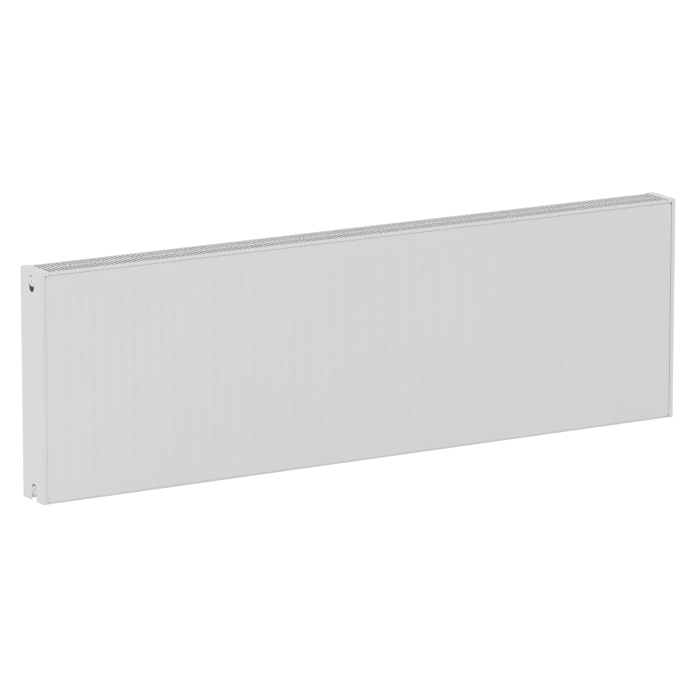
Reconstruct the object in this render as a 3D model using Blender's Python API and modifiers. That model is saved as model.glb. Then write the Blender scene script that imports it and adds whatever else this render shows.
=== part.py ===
"""Steel panel radiator with two water panels and two convectors, for a wall.

Metres, +Z up. X runs along the radiator, -Y is the room side, +Y the wall side.
The origin is the middle of the underside: X = 0 halfway along, Y = 0 halfway
through the depth of the side covers, Z = 0 at the lower seams of the panels.
"""
import math

import bmesh
import bpy
from mathutils import Matrix, Vector

MM = 0.001

# Driving dimensions of the whole radiator.
LENGTH = 1600 * MM          # over the two side covers
HEIGHT = 505 * MM           # lower seams to the top of the side covers
DEPTH = 95 * MM             # front lips to the wall lugs
GAP = 0.3 * MM              # air left between pieces that touch
END = LENGTH / 2
FRONT = -DEPTH / 2
BACK = DEPTH / 2

# Water panels: two pressed sheets each, welded together round a seam.
PANEL_SHEET = 1.2 * MM
PANEL_THICK = 13.0 * MM     # over the two pressed faces of one panel
FACE_SET_BACK = 0.6 * MM    # front face behind the lips of the covers
PORT_DEPTH = 43.5 * MM      # port axis, and mid-plane of the two panels, from the front
SEAM_DROP = 6.0 * MM        # room-side face down to its seam flange
SEAM_END = 797 * MM         # half-length over the seam flanges
SEAM_TOP = 499.6 * MM
FACE_END = 788.7 * MM       # half-length of the raised pressed face
FACE_BOTTOM = 6 * MM
FACE_TOP = 495.6 * MM
STEP_RUN = 1.8 * MM         # how far the pressed step slopes outwards

# Pressed valleys between the waterways.
VALLEY_PITCH = 32.5 * MM
VALLEY_COUNT = 48
VALLEY_HALF_WIDTH = 9 * MM
VALLEY_DEPTH = 2.2 * MM
VALLEY_LOW = 32 * MM        # where a valley starts to run in
VALLEY_HIGH = 472 * MM
VALLEY_RUN = 24 * MM        # length over which it reaches full depth

# Convectors: one corrugated sheet on the inner face of each panel.
FIN_SHEET = 0.5 * MM
FIN_WAVES = 44
FIN_FOOT = 12 * MM          # flat part against the panel
FIN_CREST = 8 * MM          # flat part facing the other panel
FIN_DEPTH = 27 * MM
FIN_LOW = 35 * MM
FIN_HIGH = 480 * MM

# Connection sockets at the four corners, half-inch pipe thread.
PORT_Y = FRONT + PORT_DEPTH
PORT_LEVELS = {"bottom": 25 * MM, "top": 479 * MM}
SOCKET_RADIUS = 12.5 * MM
SOCKET_SET_BACK = 8 * MM    # end face inside the outer face of the cover
SOCKET_LENGTH = 28 * MM
BORE_RADIUS = 9.3 * MM
BORE_DEPTH = 16 * MM
CROSS_SET_BACK = 24 * MM    # axis of the cross tube from the cover's outer face
CROSS_RADIUS = 9.5 * MM
WATERWAY_RADIUS = 6.5 * MM

# Wall lugs on the rear panel.
LUG_X = 655 * MM
LUG_HEIGHTS = {"bottom": 95 * MM, "top": 405 * MM}
LUG_SHEET = 2 * MM
LUG_HALF_HEIGHT = 27 * MM
LUG_HALF_WEB = 16 * MM
LUG_HALF_WIDTH = 32 * MM
LUG_SLOPE = 4 * MM

# Side covers.
COVER_SHEET = 1.0 * MM
COVER_BOTTOM = 1.3 * MM
COVER_FLANGE = 20.3 * MM    # top flange along X
COVER_LIP = 10.3 * MM       # lip turned onto the front and the back
LIP_LOW = 496.7 * MM        # lower edge of the front lips, on the covers and the grille
HOLE_WIDTH = 21.5 * MM
HOLE_LOW = 455.8 * MM
HOLE_HIGH = 492.2 * MM
NOTCH_TOP = 38.7 * MM
EDGE_ROUND = 1.8 * MM
BACK_ROUND = 6 * MM         # top back edge

# Top grille.
GRILLE_TOP = 502.6 * MM     # the grille lies a little below the side covers
GRILLE_SHEET = 1.0 * MM
GRILLE_END_GAP = 0.4 * MM
SLOT_PITCH = 10 * MM
SLOT_COUNT = 155
SLOT_WIDTH = 5.4 * MM
SLOT_FRONT = 10 * MM        # first edge of the slots from the front
SLOT_BACK = 87 * MM
GRILLE_BACK_LIP = 14 * MM
GRILLE_BACK_ROUND = 2 * MM

# Spring clips that grip the seams.
CLIP_SHEET = 0.8 * MM
CLIP_WIDTH = 24 * MM
GRILLE_CLIP_LEG = 3.5 * MM
COVER_CLIP_LEG = 7.5 * MM
GRILLE_CLIP_X = 520 * MM
COVER_CLIP_Z = 250 * MM

WHITE = (0.86, 0.86, 0.86, 1.0)


def fresh_scene():
    """Empty the scene and make one collection for the parts and one for the cutters."""
    for old in list(bpy.data.objects):
        bpy.data.objects.remove(old, do_unlink=True)
    made = {}
    for name in ("panel_radiator", "cutters"):
        made[name] = bpy.data.collections.new(name)
        bpy.context.scene.collection.children.link(made[name])
    return made["panel_radiator"], made["cutters"]


PARTS, CUTTERS = fresh_scene()


def finish_material(name, colour, roughness, metallic):
    material = bpy.data.materials.new(name)
    material.use_nodes = True
    shader = material.node_tree.nodes["Principled BSDF"]
    shader.inputs["Base Color"].default_value = colour
    shader.inputs["Roughness"].default_value = roughness
    shader.inputs["Metallic"].default_value = metallic
    material.diffuse_color = colour
    return material


FINISHES = {
    "white_enamel": (WHITE, 0.35, 0.0),
    "cover_enamel": ((0.88, 0.88, 0.88, 1.0), 0.35, 0.0),
    "zinc_spring": ((0.62, 0.63, 0.65, 1.0), 0.35, 0.9),
    "nickel_brass": ((0.74, 0.72, 0.68, 1.0), 0.28, 1.0),
    "white_nylon": ((0.88, 0.88, 0.87, 1.0), 0.5, 0.0),
    "black_rubber": ((0.03, 0.03, 0.03, 1.0), 0.8, 0.0),
}


def add_part(name, mesh, finish):
    """Put a mesh in the parts collection under a name, with a material of its own."""
    part = bpy.data.objects.new(name, mesh)
    PARTS.objects.link(part)
    mesh.materials.clear()
    mesh.materials.append(finish_material(name + "_" + finish, *FINISHES[finish]))
    return part


def add_cutter(name, mesh):
    cutter = bpy.data.objects.new(name, mesh)
    CUTTERS.objects.link(cutter)
    cutter.hide_render = True
    cutter.display_type = "WIRE"
    return cutter


def mesh_from(name, bm):
    mesh = bpy.data.meshes.new(name)
    bm.to_mesh(mesh)
    bm.free()
    return mesh


def box_mesh(name, low, high, rounds=()):
    """A box between two corners. Each round is (test of an edge's middle, radius)."""
    low, high = Vector(low), Vector(high)
    bm = bmesh.new()
    size = Matrix.Diagonal((*(high - low), 1))
    bmesh.ops.create_cube(bm, size=1, matrix=Matrix.Translation((low + high) / 2) @ size)
    for wanted, radius in rounds:
        edges = [edge for edge in bm.edges if wanted((edge.verts[0].co + edge.verts[1].co) / 2)]
        bmesh.ops.bevel(bm, geom=edges, offset=radius, segments=3, profile=0.5, affect="EDGES")
    return mesh_from(name, bm)


def rod_mesh(name, start, end, radius, sides=16):
    """A straight rod between two points."""
    start, end = Vector(start), Vector(end)
    bm = bmesh.new()
    turn = Vector((0, 0, 1)).rotation_difference(end - start).to_matrix().to_4x4()
    bmesh.ops.create_cone(
        bm, cap_ends=True, segments=sides, radius1=radius, radius2=radius,
        depth=(end - start).length, matrix=Matrix.Translation((start + end) / 2) @ turn)
    return mesh_from(name, bm)


def cut(part, cutter, operation="DIFFERENCE"):
    boolean = part.modifiers.new(operation.lower() + "_" + cutter.name, "BOOLEAN")
    boolean.operation = operation
    boolean.solver = "EXACT"
    boolean.object = cutter


def split_along_fold(bm, depth_at):
    """Split each bent four-sided face along the diagonal that lies on the sheet's fold."""
    for face in list(bm.faces):
        corners = list(face.verts)
        middle = sum((vert.co for vert in corners), Vector()) / 4
        diagonals = (corners[0::2], corners[1::2])
        errors = [abs(depth_at(middle.x, middle.z) - (first.co.y + second.co.y) / 2)
                  for first, second in diagonals]
        if abs(errors[0] - errors[1]) > 0.01 * MM:
            bmesh.utils.face_split(face, *diagonals[errors.index(min(errors))])


def sheet_surface(name, columns, rows, depth_at, faces_wall):
    """An open sheet in the XZ plane at y = depth_at(x, z), seen from -Y or from the wall."""
    bm = bmesh.new()
    bmesh.ops.create_grid(bm, x_segments=len(columns) - 1, y_segments=len(rows) - 1, size=0.5)
    for vert in bm.verts:
        x = columns[round((vert.co.x + 0.5) * (len(columns) - 1))]
        z = rows[round((vert.co.y + 0.5) * (len(rows) - 1))]
        vert.co = (x, depth_at(x, z), z)
    split_along_fold(bm, depth_at)
    if faces_wall:
        bmesh.ops.reverse_faces(bm, faces=bm.faces)
    bm.normal_update()
    bmesh.ops.dissolve_limit(
        bm, angle_limit=math.radians(0.2), verts=bm.verts, edges=bm.edges)
    return mesh_from(name, bm)


def solidify(part, thickness, even=True):
    """Give an open sheet its thickness, on the side away from its normals."""
    shell = part.modifiers.new("thickness", "SOLIDIFY")
    shell.thickness = thickness
    shell.offset = -1
    shell.use_even_offset = even


def mirrored(part, name, axis, plane=0.0):
    """A copy of a finished part, reflected in the plane at right angles to an axis."""
    bpy.context.view_layer.update()
    graph = bpy.context.evaluated_depsgraph_get()
    mesh = bpy.data.meshes.new_from_object(part.evaluated_get(graph))
    flip = Matrix.Identity(4)
    flip[axis][axis] = -1
    flip[axis][3] = 2 * plane
    mesh.transform(flip @ part.matrix_world)
    mesh.flip_normals()
    finish = part.data.materials[0].name.removeprefix(part.name + "_")
    return add_part(name, mesh, finish)


# ---------------------------------------------------------------- water panels

def valley_centres():
    first = -VALLEY_PITCH * (VALLEY_COUNT - 1) / 2
    return [first + VALLEY_PITCH * n for n in range(VALLEY_COUNT)]


def seam_share(x, z):
    """0 on the raised face, 1 on the seam flange, and the slope between them."""
    out_x = (abs(x) - FACE_END) / STEP_RUN
    out_low = (FACE_BOTTOM - z) / STEP_RUN
    out_high = (z - FACE_TOP) / STEP_RUN
    return min(1.0, max(0.0, out_x, out_low, out_high))


def valley_share(x, z):
    """1 along the bottom of a pressed valley, 0 on the face round it."""
    off = (x / VALLEY_PITCH + (VALLEY_COUNT - 1) / 2) % 1
    off = min(off, 1 - off) * VALLEY_PITCH
    inside = abs(x) < VALLEY_PITCH * VALLEY_COUNT / 2
    across = max(0.0, 1 - off / VALLEY_HALF_WIDTH) if inside else 0.0
    along = min((z - VALLEY_LOW) / VALLEY_RUN, (VALLEY_HIGH - z) / VALLEY_RUN)
    return min(across, max(0.0, along))


def panel_sheet(name, face_y, inwards, drop, with_valleys):
    """One pressed sheet: a raised face at face_y whose edges step inwards to the seam."""
    edge = FACE_END + STEP_RUN
    columns = [-SEAM_END, -edge, -FACE_END, FACE_END, edge, SEAM_END]
    rows = [0, FACE_BOTTOM - STEP_RUN, FACE_BOTTOM, FACE_TOP, FACE_TOP + STEP_RUN, SEAM_TOP]
    if with_valleys:
        for centre in valley_centres():
            columns += [centre - VALLEY_HALF_WIDTH, centre, centre + VALLEY_HALF_WIDTH]
        rows += [VALLEY_LOW, VALLEY_LOW + VALLEY_RUN, VALLEY_HIGH - VALLEY_RUN, VALLEY_HIGH]

    def depth_at(x, z):
        pressed = drop * seam_share(x, z)
        if with_valleys:
            pressed += VALLEY_DEPTH * valley_share(x, z)
        return face_y + inwards * pressed

    mesh = sheet_surface(name, sorted(columns), sorted(rows), depth_at, inwards < 0)
    sheet = add_part(name, mesh, "white_enamel")
    solidify(sheet, PANEL_SHEET, even=False)
    return sheet


FRONT_FACE = FRONT + FACE_SET_BACK
FRONT_INNER = FRONT_FACE + PANEL_THICK
REAR_FACE = 2 * PORT_Y - FRONT_FACE
REAR_INNER = 2 * PORT_Y - FRONT_INNER
SEAM_FRONT = FRONT_FACE + SEAM_DROP
SEAM_THICK = 2 * PANEL_SHEET + GAP
INNER_DROP = PANEL_THICK - SEAM_DROP - SEAM_THICK


def drill_waterways(sheet, sheet_y):
    """Four round holes where the sockets' cross tubes meet the sheet."""
    for level, z in PORT_LEVELS.items():
        for side, x in (("left", CROSS_SET_BACK - END), ("right", END - CROSS_SET_BACK)):
            name = "_".join(("waterway", sheet.name, level, side))
            ends = [(x, sheet_y + reach, z) for reach in (-5 * MM, 5 * MM)]
            cut(sheet, add_cutter(name, rod_mesh(name, *ends, WATERWAY_RADIUS, 10)))


panel_sheet("front_panel_face_sheet", FRONT_FACE, 1, SEAM_DROP, True)
front_inner_sheet = panel_sheet("front_panel_inner_sheet", FRONT_INNER, -1, INNER_DROP, False)
drill_waterways(front_inner_sheet, FRONT_INNER)
rear_inner_sheet = panel_sheet("rear_panel_inner_sheet", REAR_INNER, 1, INNER_DROP, False)
drill_waterways(rear_inner_sheet, REAR_INNER)
panel_sheet("rear_panel_back_sheet", REAR_FACE, -1, SEAM_DROP, True)


# ------------------------------------------------------------------ convectors

def convector(name, foot_y, towards):
    """A corrugated fin sheet: feet on the panel, crests facing the other panel."""
    flank = (VALLEY_PITCH - FIN_FOOT - FIN_CREST) / 2
    columns = []
    for wave in range(FIN_WAVES):
        start = (wave - FIN_WAVES / 2) * VALLEY_PITCH
        for step in (FIN_FOOT, flank, FIN_CREST, flank):
            columns.append(start)
            start += step
    half_length = FIN_WAVES / 2 * VALLEY_PITCH
    columns += [half_length, half_length + FIN_FOOT]

    def depth_at(x, z):
        along = (x + half_length) % VALLEY_PITCH
        on_crest = FIN_FOOT + flank - GAP < along < VALLEY_PITCH - flank + GAP
        return foot_y + (towards * FIN_DEPTH if on_crest else 0)

    centred = [x - FIN_FOOT / 2 for x in columns]
    mesh = sheet_surface(
        name, centred, [FIN_LOW, FIN_HIGH], lambda x, z: depth_at(x + FIN_FOOT / 2, z),
        towards < 0)
    fins = add_part(name, mesh, "white_enamel")
    solidify(fins, FIN_SHEET)
    return fins


convector("front_convector", FRONT_INNER + GAP, 1)
convector("rear_convector", REAR_INNER - GAP, -1)


# --------------------------------------------------------- connection sockets

def socket(level, z):
    """A threaded socket lying along X, on a cross tube that joins the two panels."""
    name = "connection_socket_" + level + "_left"
    face_x = SOCKET_SET_BACK - END
    cross_x = CROSS_SET_BACK - END
    tube = (FRONT_INNER + GAP, REAR_INNER - GAP)
    axis = [(face_x, PORT_Y, z), (face_x + SOCKET_LENGTH, PORT_Y, z)]
    body = add_part(name, rod_mesh(name, *axis, SOCKET_RADIUS), "white_enamel")
    cross = [(cross_x, y, z) for y in tube]
    cut(body, add_cutter(name + "_cross", rod_mesh(name + "_cross", *cross, CROSS_RADIUS, 12)),
        "UNION")
    bore = [(face_x - 1 * MM, PORT_Y, z), (face_x + BORE_DEPTH, PORT_Y, z)]
    cut(body, add_cutter(name + "_bore", rod_mesh(name + "_bore", *bore, BORE_RADIUS)))
    water = [(cross_x, tube[0] - 1 * MM, z), (cross_x, tube[1] + 1 * MM, z)]
    cut(body, add_cutter(
        name + "_water", rod_mesh(name + "_water", *water, WATERWAY_RADIUS, 10)))
    mirrored(body, "connection_socket_" + level + "_right", 0)


for socket_level, socket_z in PORT_LEVELS.items():
    socket(socket_level, socket_z)


# ------------------------------------------------------------------ wall lugs

def wall_lug(level, z):
    """A hat-shaped strap welded behind the rear panel; a wall hook slides up inside it."""
    name = "wall_lug_" + level + "_left"
    foot_y = REAR_FACE + GAP + LUG_SHEET
    web_end = LUG_HALF_WEB + LUG_SLOPE
    offsets = [-LUG_HALF_WIDTH, -web_end, -LUG_HALF_WEB, LUG_HALF_WEB, web_end, LUG_HALF_WIDTH]
    columns = [offset - LUG_X for offset in offsets]

    def depth_at(x, z):
        return BACK if abs(x + LUG_X) < LUG_HALF_WEB + GAP else foot_y

    rows = [z - LUG_HALF_HEIGHT, z + LUG_HALF_HEIGHT]
    lug = add_part(name, sheet_surface(name, columns, rows, depth_at, True), "white_enamel")
    solidify(lug, LUG_SHEET)
    mirrored(lug, "wall_lug_" + level + "_right", 0)


for lug_level, lug_z in LUG_HEIGHTS.items():
    wall_lug(lug_level, lug_z)


# ---------------------------------------------------------------- side covers

def side_cover():
    """A folded sheet cap: side plate, top flange, and lips onto the front and the back."""
    name = "left_side_cover"
    low = (-END, FRONT, COVER_BOTTOM)
    high = (COVER_FLANGE - END, BACK, HEIGHT)

    def back_top(middle):
        return middle.y > high[1] - GAP and middle.z > high[2] - GAP

    def folded(middle):
        at_side = middle.x < low[0] + COVER_SHEET + GAP
        at_front = middle.y < low[1] + COVER_SHEET + GAP
        at_back = middle.y > high[1] - COVER_SHEET - GAP and middle.z < high[2] - BACK_ROUND
        at_top = middle.z > high[2] - COVER_SHEET - GAP
        return (at_side and (at_front or at_back or at_top)) or (at_front and at_top)

    cover = add_part(name, box_mesh(
        name, low, high, ((back_top, BACK_ROUND), (folded, EDGE_ROUND))), "cover_enamel")
    inner_low = (low[0] + COVER_SHEET, low[1] + COVER_SHEET, low[2] - 5 * MM)
    inner_high = (high[0] + 5 * MM, high[1] - COVER_SHEET, high[2] - COVER_SHEET)

    def inner_back_top(middle):
        return middle.y > inner_high[1] - GAP and middle.z > inner_high[2] - GAP

    cut(cover, add_cutter("cover_inside", box_mesh(
        "cover_inside", inner_low, inner_high,
        ((inner_back_top, BACK_ROUND - COVER_SHEET),))))

    # Everything inboard of the lips is open, with a rounded upper corner.
    def window_corner(middle):
        return middle.x < COVER_LIP - END + GAP and middle.z > LIP_LOW - GAP

    cut(cover, add_cutter("cover_window", box_mesh(
        "cover_window", (COVER_LIP - END, FRONT - 5 * MM, -5 * MM),
        (COVER_FLANGE - END + 5 * MM, BACK + 5 * MM, LIP_LOW),
        ((window_corner, 3 * MM),))))

    # An upright slot at the upper port and a notch, open below, at the lower one.
    half = HOLE_WIDTH / 2

    def arch(middle):
        return abs(abs(middle.y - PORT_Y) - half) < GAP and middle.z > NOTCH_TOP - GAP

    def slot_ends(middle):
        return abs(abs(middle.y - PORT_Y) - half) < GAP and abs(
            abs(middle.z - (HOLE_LOW + HOLE_HIGH) / 2) - (HOLE_HIGH - HOLE_LOW) / 2) < GAP

    reach = (-END - 5 * MM, 6 * MM - END)
    nearly_half = half - 0.05 * MM
    for cutter_name, bottom, top, ends in (
            ("port_slot", HOLE_LOW, HOLE_HIGH, slot_ends),
            ("port_notch", -5 * MM, NOTCH_TOP, arch)):
        bm_box = box_mesh(cutter_name, (reach[0], PORT_Y - half, bottom),
                          (reach[1], PORT_Y + half, top), ((ends, nearly_half),))
        cut(cover, add_cutter(cutter_name, bm_box))
    mirrored(cover, "right_side_cover", 0)


side_cover()


# ----------------------------------------------------------------- top grille

def top_grille():
    """A slotted plate with turned-down edges that drops between the two side covers."""
    half = END - COVER_FLANGE - GRILLE_END_GAP
    low = (-half, FRONT, GRILLE_TOP - GRILLE_BACK_LIP)
    high = (half, BACK, GRILLE_TOP)

    def back_top(middle):
        return middle.y > high[1] - GAP and middle.z > high[2] - GAP

    def front_top(middle):
        return middle.y < low[1] + GAP and middle.z > high[2] - GAP

    grille = add_part("top_grille", box_mesh(
        "top_grille", low, high, ((back_top, GRILLE_BACK_ROUND), (front_top, EDGE_ROUND))),
        "white_enamel")
    inner_low = (-half + GRILLE_SHEET, FRONT + GRILLE_SHEET, low[2] - 5 * MM)
    inner_high = (half - GRILLE_SHEET, BACK - GRILLE_SHEET, GRILLE_TOP - GRILLE_SHEET)

    def inner_back_top(middle):
        return middle.y > inner_high[1] - GAP and middle.z > inner_high[2] - GAP

    cut(grille, add_cutter("grille_inside", box_mesh(
        "grille_inside", inner_low, inner_high,
        ((inner_back_top, GRILLE_BACK_ROUND - GRILLE_SHEET),))))
    cut(grille, add_cutter("grille_front_trim", box_mesh(
        "grille_front_trim", (-END, FRONT - 5 * MM, HEIGHT - 40 * MM),
        (END, BACK - 8 * MM, LIP_LOW))))
    # The turned-down ends are notched where the seams of the two panels pass.
    for name, middle in (("front", SEAM_FRONT + SEAM_THICK / 2),
                         ("rear", 2 * PORT_Y - SEAM_FRONT - SEAM_THICK / 2)):
        cut(grille, add_cutter("seam_notch_" + name, box_mesh(
            "seam_notch_" + name, (-END, middle - 2 * SEAM_THICK, HEIGHT - 40 * MM),
            (END, middle + 2 * SEAM_THICK, SEAM_TOP + 1 * MM))))
    bm = bmesh.new()
    size = (SLOT_WIDTH, SLOT_BACK - SLOT_FRONT, 6 * MM)
    for slot in range(SLOT_COUNT):
        centre = ((slot - (SLOT_COUNT - 1) / 2) * SLOT_PITCH,
                  FRONT + (SLOT_FRONT + SLOT_BACK) / 2, GRILLE_TOP - GRILLE_SHEET / 2)
        place = Matrix.Translation(centre) @ Matrix.Diagonal((*size, 1))
        bmesh.ops.create_cube(bm, size=1, matrix=place)
    cut(grille, add_cutter("grille_slots", mesh_from("grille_slots", bm)))


top_grille()


# --------------------------------------------------------------- spring clips


def hairpin(name, low, high, slot_low, slot_high):
    """A folded spring strip: a small block with a slot that the panel's seam enters."""
    clip = add_part(name, box_mesh(name, low, high), "zinc_spring")
    cut(clip, add_cutter(name + "_slot", box_mesh(name + "_slot", slot_low, slot_high)))
    return clip


CLIP_LOW_Y = SEAM_FRONT - GAP - CLIP_SHEET
CLIP_HIGH_Y = SEAM_FRONT + SEAM_THICK + GAP + CLIP_SHEET
GRILLE_CLIP_TOP = GRILLE_TOP - GRILLE_SHEET - GAP
COVER_CLIP_BASE = COVER_SHEET + GAP - END

grille_clip = hairpin(
    "grille_clip_front_left",
    (-GRILLE_CLIP_X - CLIP_WIDTH / 2, CLIP_LOW_Y, GRILLE_CLIP_TOP - GRILLE_CLIP_LEG),
    (-GRILLE_CLIP_X + CLIP_WIDTH / 2, CLIP_HIGH_Y, GRILLE_CLIP_TOP),
    (-END, CLIP_LOW_Y + CLIP_SHEET, HEIGHT - 5 * GRILLE_CLIP_LEG),
    (END, CLIP_HIGH_Y - CLIP_SHEET, GRILLE_CLIP_TOP - CLIP_SHEET))
mirrored(grille_clip, "grille_clip_front_right", 0)
rear_grille_clip = mirrored(grille_clip, "grille_clip_rear_left", 1, PORT_Y)
mirrored(rear_grille_clip, "grille_clip_rear_right", 0)

cover_clip = hairpin(
    "cover_clip_front_left",
    (COVER_CLIP_BASE, CLIP_LOW_Y, COVER_CLIP_Z - CLIP_WIDTH / 2),
    (COVER_CLIP_BASE + COVER_CLIP_LEG, CLIP_HIGH_Y, COVER_CLIP_Z + CLIP_WIDTH / 2),
    (COVER_CLIP_BASE + CLIP_SHEET, CLIP_LOW_Y + CLIP_SHEET, 0),
    (COVER_CLIP_BASE + 5 * COVER_CLIP_LEG, CLIP_HIGH_Y - CLIP_SHEET, HEIGHT))
mirrored(cover_clip, "cover_clip_front_right", 0)
rear_cover_clip = mirrored(cover_clip, "cover_clip_rear_left", 1, PORT_Y)
mirrored(rear_cover_clip, "cover_clip_rear_right", 0)


# ------------------------------------------- plugs at the left end of the panels

def turned(name, profile, z, finish, sides=16):
    """Turn a closed outline of (radius, reach) about a port's axis.

    Reach is measured outwards from the outer face of the left cover, in millimetres.
    """
    bm = bmesh.new()
    verts = [bm.verts.new((radius * MM, 0, reach * MM)) for radius, reach in profile]
    ends = zip(verts, verts[1:] + verts[:1]) if profile[0][0] > 0 else zip(verts, verts[1:])
    for start, end in ends:
        bm.edges.new((start, end))
    part = add_part(name, mesh_from(name, bm), finish)
    part.location = (-END, PORT_Y, z)
    part.rotation_euler = (0, -math.pi / 2, 0)
    lathe = part.modifiers.new("turn", "SCREW")
    lathe.axis = "Z"
    lathe.steps = sides
    lathe.render_steps = sides
    lathe.use_merge_vertices = True
    lathe.merge_threshold = 0.00005
    lathe.use_smooth_shade = False
    return part


def port_cutter(name, z, radius, sides, start, end):
    """A prism on a port's axis between two reaches, in metres from the cover's outer face."""
    ends = [(-END - start, PORT_Y, z), (-END - end, PORT_Y, z)]
    return add_cutter(name, rod_mesh(name, *ends, radius, sides))


VENT_Z = PORT_LEVELS["top"]
BLANK_Z = PORT_LEVELS["bottom"]

# Outlines go from the outermost point on the axis, or of the ring, outwards and back in.
vent_body = turned("vent_plug_body", [
    (0, -1.6), (4.6, -1.6), (5.0, -2.0), (5.0, -3.2), (11.6, -3.2), (12.1, -3.7),
    (12.1, -6.1), (9.0, -6.1), (9.0, -17.2), (8.4, -18), (0, -18)], VENT_Z, "nickel_brass")
cut(vent_body, port_cutter("vent_bore", VENT_Z, 2.8 * MM, 12, 0, -19 * MM))
nozzle = turned("vent_nozzle", [
    (3.4, -0.2), (10.0, -0.2), (10.5, -0.7), (10.5, -1.6), (11.9, -1.6), (11.9, -2.9),
    (5.3, -2.9), (5.3, -1.3), (3.4, -1.3)], VENT_Z, "white_nylon")
outlet = rod_mesh("nozzle_outlet", (2.9 * MM - END, PORT_Y, VENT_Z - 4 * MM),
                  (2.9 * MM - END, PORT_Y, VENT_Z - 13 * MM), 1.2 * MM, 8)
cut(nozzle, add_cutter("nozzle_outlet", outlet))
bleed_screw = turned("bleed_screw", [
    (0, -1.3), (2.5, -1.3), (2.5, -12), (1.2, -14.5), (0, -14.5)], VENT_Z, "nickel_brass", 12)
head = box_mesh("bleed_head", (0.5 * MM - END, PORT_Y - 2.1 * MM, VENT_Z - 2.1 * MM),
                (1.35 * MM - END, PORT_Y + 2.1 * MM, VENT_Z + 2.1 * MM))
cut(bleed_screw, add_cutter("bleed_head", head), "UNION")
slot_box = box_mesh("bleed_slot", (0.2 * MM - END, PORT_Y - 0.4 * MM, VENT_Z - 4 * MM),
                    (0.9 * MM - END, PORT_Y + 0.4 * MM, VENT_Z + 4 * MM))
cut(bleed_screw, add_cutter("bleed_slot", slot_box))
blank_body = turned("blanking_plug", [
    (0, -0.3), (9.7, -0.3), (10.2, -0.8), (10.2, -3.2), (10.6, -3.2), (11.2, -3.8),
    (11.2, -6.1), (9.0, -6.1), (9.0, -17.2), (8.4, -18), (0, -18)], BLANK_Z, "white_enamel")
cut(blank_body, port_cutter("blank_key", BLANK_Z, 3.46 * MM, 6, 0, -3.3 * MM))

SEAL_OUTLINE = [(9.9, -6.4), (11.5, -6.4), (11.5, -7.7), (9.9, -7.7)]
turned("vent_plug_seal", SEAL_OUTLINE, VENT_Z, "black_rubber")
turned("blanking_plug_seal", SEAL_OUTLINE, BLANK_Z, "black_rubber")

for shaded in PARTS.objects:
    shaded.data.shade_smooth()
    shaded.data.set_sharp_from_angle(angle=math.radians(30))
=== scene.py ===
"""A white steel panel radiator with side covers and a slotted top grille, in a pale studio."""
import math

import bmesh
import bpy
import numpy as np
from mathutils import Matrix, Vector


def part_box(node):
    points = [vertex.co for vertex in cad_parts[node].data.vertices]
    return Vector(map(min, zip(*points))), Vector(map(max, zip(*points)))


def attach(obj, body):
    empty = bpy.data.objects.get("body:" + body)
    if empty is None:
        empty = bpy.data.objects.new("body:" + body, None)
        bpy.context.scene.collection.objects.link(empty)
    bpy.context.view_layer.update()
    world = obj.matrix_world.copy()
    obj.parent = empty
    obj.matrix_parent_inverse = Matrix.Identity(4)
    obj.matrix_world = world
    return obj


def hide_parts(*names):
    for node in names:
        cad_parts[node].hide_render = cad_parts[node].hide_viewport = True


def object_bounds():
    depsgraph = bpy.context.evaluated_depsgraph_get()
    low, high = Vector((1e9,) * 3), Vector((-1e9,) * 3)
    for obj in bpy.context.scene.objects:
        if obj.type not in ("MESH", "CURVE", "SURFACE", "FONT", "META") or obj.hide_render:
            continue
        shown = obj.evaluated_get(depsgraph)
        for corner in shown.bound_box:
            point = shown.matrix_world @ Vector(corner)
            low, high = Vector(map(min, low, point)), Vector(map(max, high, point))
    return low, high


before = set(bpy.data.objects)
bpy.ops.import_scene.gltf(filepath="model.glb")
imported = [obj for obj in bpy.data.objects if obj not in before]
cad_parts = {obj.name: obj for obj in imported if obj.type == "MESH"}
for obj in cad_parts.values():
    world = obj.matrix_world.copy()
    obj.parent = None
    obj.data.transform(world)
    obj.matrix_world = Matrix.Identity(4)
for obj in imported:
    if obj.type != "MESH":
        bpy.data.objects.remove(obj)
cad_low, cad_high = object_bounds()

# ------------------------------------------------------------------ the studio
# A white sweep far larger than the radiator, a white sky all round it, and one broad
# soft light high on the left. The radiator hangs a hand's breadth above the floor.
FLOOR_DROP = 0.15
centre = (Vector(cad_low) + Vector(cad_high)) / 2
turn, tilt = math.radians(30.36), math.radians(12.71)
ahead = Vector((math.sin(turn) * math.cos(tilt), math.cos(turn) * math.cos(tilt), -math.sin(tilt)))
beside = Vector((math.cos(turn), -math.sin(turn), 0))
above = beside.cross(ahead)

camera = bpy.data.objects.new("studio_camera", bpy.data.cameras.new("studio_camera"))
bpy.context.scene.collection.objects.link(camera)
camera.location = centre - 12.004 * ahead - 0.0211 * beside - 0.0091 * above
camera.rotation_euler = ahead.to_track_quat("-Z", "Y").to_euler()
camera.data.lens = 283.66
camera.data.sensor_width = 36
camera.data.clip_end = 200
bpy.context.scene.camera = camera
bpy.context.scene.view_settings.view_transform = "Standard"

world = bpy.data.worlds.new("studio_sky")
bpy.context.scene.world = world
world.use_nodes = True
sky = world.node_tree
seen_sky = sky.nodes["Background"]
seen_sky.inputs["Color"].default_value = (1, 1, 1, 1)
seen_sky.inputs["Strength"].default_value = 1.05
lit_sky = sky.nodes.new("ShaderNodeBackground")
lit_sky.inputs["Color"].default_value = (1, 1, 1, 1)
lit_sky.inputs["Strength"].default_value = 0.85
rays = sky.nodes.new("ShaderNodeLightPath")
choose = sky.nodes.new("ShaderNodeMixShader")
sky.links.new(rays.outputs["Is Camera Ray"], choose.inputs["Fac"])
sky.links.new(lit_sky.outputs["Background"], choose.inputs[1])
sky.links.new(seen_sky.outputs["Background"], choose.inputs[2])
sky.links.new(choose.outputs["Shader"], sky.nodes["World Output"].inputs["Surface"])

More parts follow.
